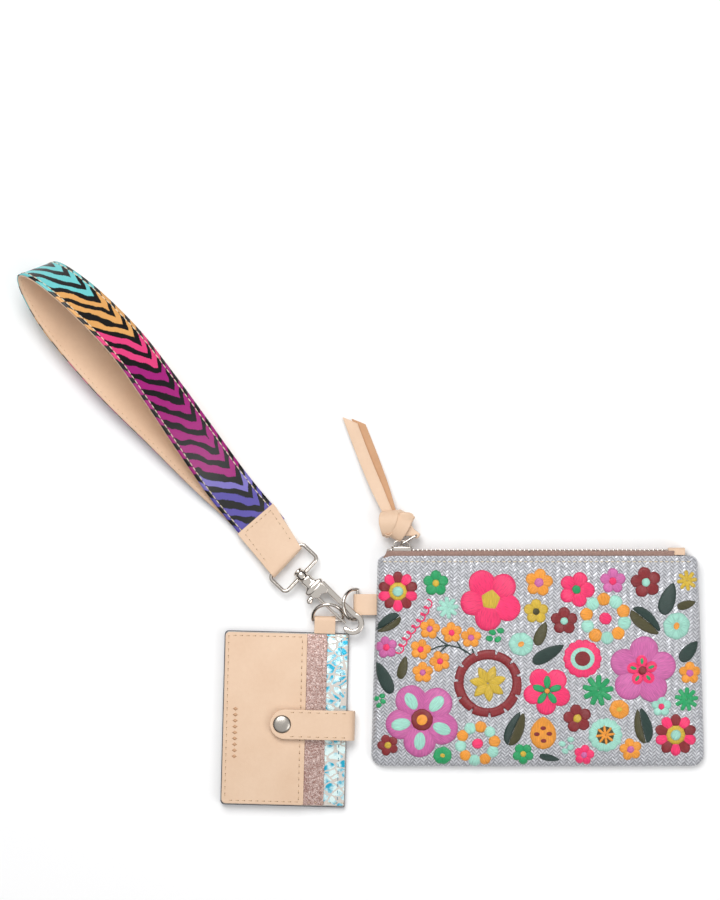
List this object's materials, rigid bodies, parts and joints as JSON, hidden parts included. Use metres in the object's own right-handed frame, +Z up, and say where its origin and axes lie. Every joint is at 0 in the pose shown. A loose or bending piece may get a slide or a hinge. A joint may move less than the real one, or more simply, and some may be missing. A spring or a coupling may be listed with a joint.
{
  "type": "wristlet wallet",
  "caption": "Zip pouch with a ringed card holder and a looped wrist strap, all clipped to one swivel trigger hook.",
  "frame": {"origin": "centre of the bounding box at the surface the set lies on", "axes": "+Z up out of the table, +X along the pouch's width from hook to far end, +Y from the pouch's bottom to its zip"},
  "size_m": [0.3916, 0.3124, 0.0454],
  "materials": {
    "saffiano": "fine crosshatched coated cloth with embroidery",
    "lining_cloth": "plain woven lining",
    "zip_tape": "woven tape",
    "zip_metal": "polished nickel",
    "beige_leather": "fine-grained leather",
    "polished_nickel": "polished nickel plate",
    "spring_steel": "bright wire",
    "printed_ribbon": "printed canvas, dark stripes over a colour blend",
    "holder_cloth": "dark coated board, painted edges",
    "foil_leather": "leather with foil spots",
    "glitter_leather": "fine glitter coating",
    "satin_nickel": "satin nickel"
  },
  "bodies": {
    "pouch": {"pouch_front_panel": "saffiano", "pouch_back_panel": "saffiano", "pouch_lining_front": "lining_cloth", "pouch_lining_back": "lining_cloth", "zip_tape_front": "zip_tape", "zip_tape_back": "zip_tape", "zip_teeth_front": "zip_metal", "zip_teeth_back": "zip_metal", "zip_stops": "zip_metal", "zip_end_tab": "beige_leather", "pouch_side_tab": "beige_leather"},
    "slider": {"zip_slider": "zip_metal"},
    "pull_link": {"zip_pull_link": "zip_metal"},
    "pull": {"leather_pull": "beige_leather"},
    "pouch_ring": {"pouch_d_ring": "polished_nickel"},
    "hook": {"hook_frame": "polished_nickel", "swivel_post": "polished_nickel", "gate_pin": "polished_nickel", "gate_spring": "spring_steel"},
    "gate": {"hook_gate": "polished_nickel"},
    "loop": {"swivel_loop": "polished_nickel"},
    "strap": {"strap_tab": "beige_leather", "strap_print_band": "printed_ribbon", "strap_lining_band": "beige_leather"},
    "card_ring": {"card_d_ring": "polished_nickel"},
    "holder": {"holder_back_panel": "holder_cloth", "holder_inner_panel": "holder_cloth", "foil_pocket": "foil_leather", "glitter_pocket": "glitter_leather", "front_pocket": "beige_leather", "holder_ring_tab": "beige_leather", "closure_anchor": "beige_leather", "snap_stud": "satin_nickel", "snap_post": "satin_nickel"},
    "closure": {"closure_tab": "beige_leather", "closure_tab_lining": "beige_leather", "snap_cap": "satin_nickel", "snap_socket": "satin_nickel"}
  },
  "joints": [
    {"name": "zip_slide", "type": "slide", "parent": "pouch", "child": "slider", "axis": [1, 0, 0], "range_m": [0, 0.144]},
    {"name": "pull_link_swing", "type": "hinge", "parent": "slider", "child": "pull_link", "pos_m": [0.02302, -0.0054, 0.0057], "axis": [0, 0, 1], "range_deg": [-6, 12]},
    {"name": "leather_pull_swing", "type": "hinge", "parent": "pull_link", "child": "pull", "pos_m": [0.03176, -0.00015, 0.0057], "axis": [0, 0, 1], "range_deg": [-35, 0]},
    {"name": "pouch_ring_swing", "type": "hinge", "parent": "pouch", "child": "pouch_ring", "pos_m": [-0.00198, -0.04, 0.0026], "axis": [0, 1, 0], "range_deg": [0, 16]},
    {"name": "hook_on_pouch_ring", "type": "hinge", "parent": "pouch_ring", "child": "hook", "pos_m": [-0.00653, -0.04636, 0.00683], "axis": [0, 1, 0], "range_deg": [0, 1.5]},
    {"name": "hook_swivel", "type": "hinge", "parent": "hook", "child": "loop", "pos_m": [-0.0341, -0.02318, 0.00515], "axis": [0.7277, -0.6843, 0.0466], "continuous": true},
    {"name": "gate_press", "type": "hinge", "parent": "hook", "child": "gate", "pos_m": [-0.02628, -0.03411, 0.00577], "axis": [-0.0339, 0.0319, 0.9989], "range_deg": [0, 3], "stiffness_Nm_per_rad": 0.02},
    {"name": "strap_swing", "type": "hinge", "parent": "loop", "child": "strap", "pos_m": [-0.04334, -0.01449, 0.00456], "axis": [0.6851, 0.7285, 0], "range_deg": [0, 60]},
    {"name": "card_ring_on_hook", "type": "hinge", "parent": "hook", "child": "card_ring", "pos_m": [-0.01364, -0.04517, 0.00655], "axis": [-1, 0, 0], "range_deg": [0, 2]},
    {"name": "holder_swing", "type": "hinge", "parent": "card_ring", "child": "holder", "pos_m": [-0.01898, -0.0489, 0.0026], "axis": [-0.9997, 0.0262, 0], "range_deg": [0, 4]},
    {"name": "closure_open", "type": "hinge", "parent": "holder", "child": "closure", "pos_m": [-0.00842, -0.10918, 0.0098], "axis": [0.0262, 0.9997, 0], "range_deg": [0, 150]}
  ]
}
